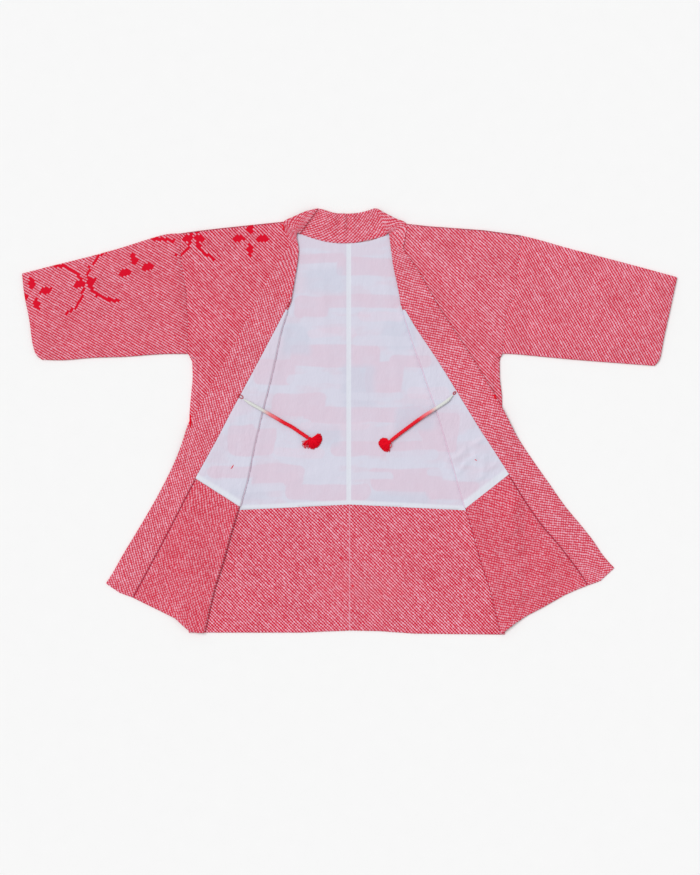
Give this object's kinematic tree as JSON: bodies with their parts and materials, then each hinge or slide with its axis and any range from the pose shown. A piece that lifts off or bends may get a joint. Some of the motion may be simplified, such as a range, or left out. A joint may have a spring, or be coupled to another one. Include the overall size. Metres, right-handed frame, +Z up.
{
  "type": "haori",
  "caption": "Haori jacket in red fawn-spot shibori silk with a pale lining, laid flat on its back with both fronts folded open, and two braided front cords with tassels.",
  "frame": {"origin": "middle of the laid-out garment, on the surface that it lies on", "axes": "+X to the wearer's left sleeve, +Y to the collar, +Z up from the surface"},
  "size_m": [1.2701, 0.8258, 0.0138],
  "materials": {
    "shibori_silk": "tie-dyed crepe",
    "lining_silk": "soft sheen",
    "cord_silk": "braided",
    "red_thread": "matt"
  },
  "bodies": {
    "root": {"body_right": "shibori_silk", "body_left": "shibori_silk", "back_facing_right": "shibori_silk", "back_facing_left": "shibori_silk", "back_lining_right": "lining_silk", "back_lining_left": "lining_silk", "front_lining_right": "lining_silk", "front_lining_left": "lining_silk", "front_facing_right": "shibori_silk", "front_facing_left": "shibori_silk", "gusset_right": "shibori_silk", "gusset_left": "shibori_silk", "sleeve_right": "shibori_silk", "sleeve_left": "shibori_silk", "himo_right": "cord_silk", "himo_left": "cord_silk", "chi_right": "red_thread", "chi_left": "red_thread", "tassel_right": "red_thread", "tassel_left": "red_thread", "collar": "shibori_silk"}
  },
  "joints": []
}
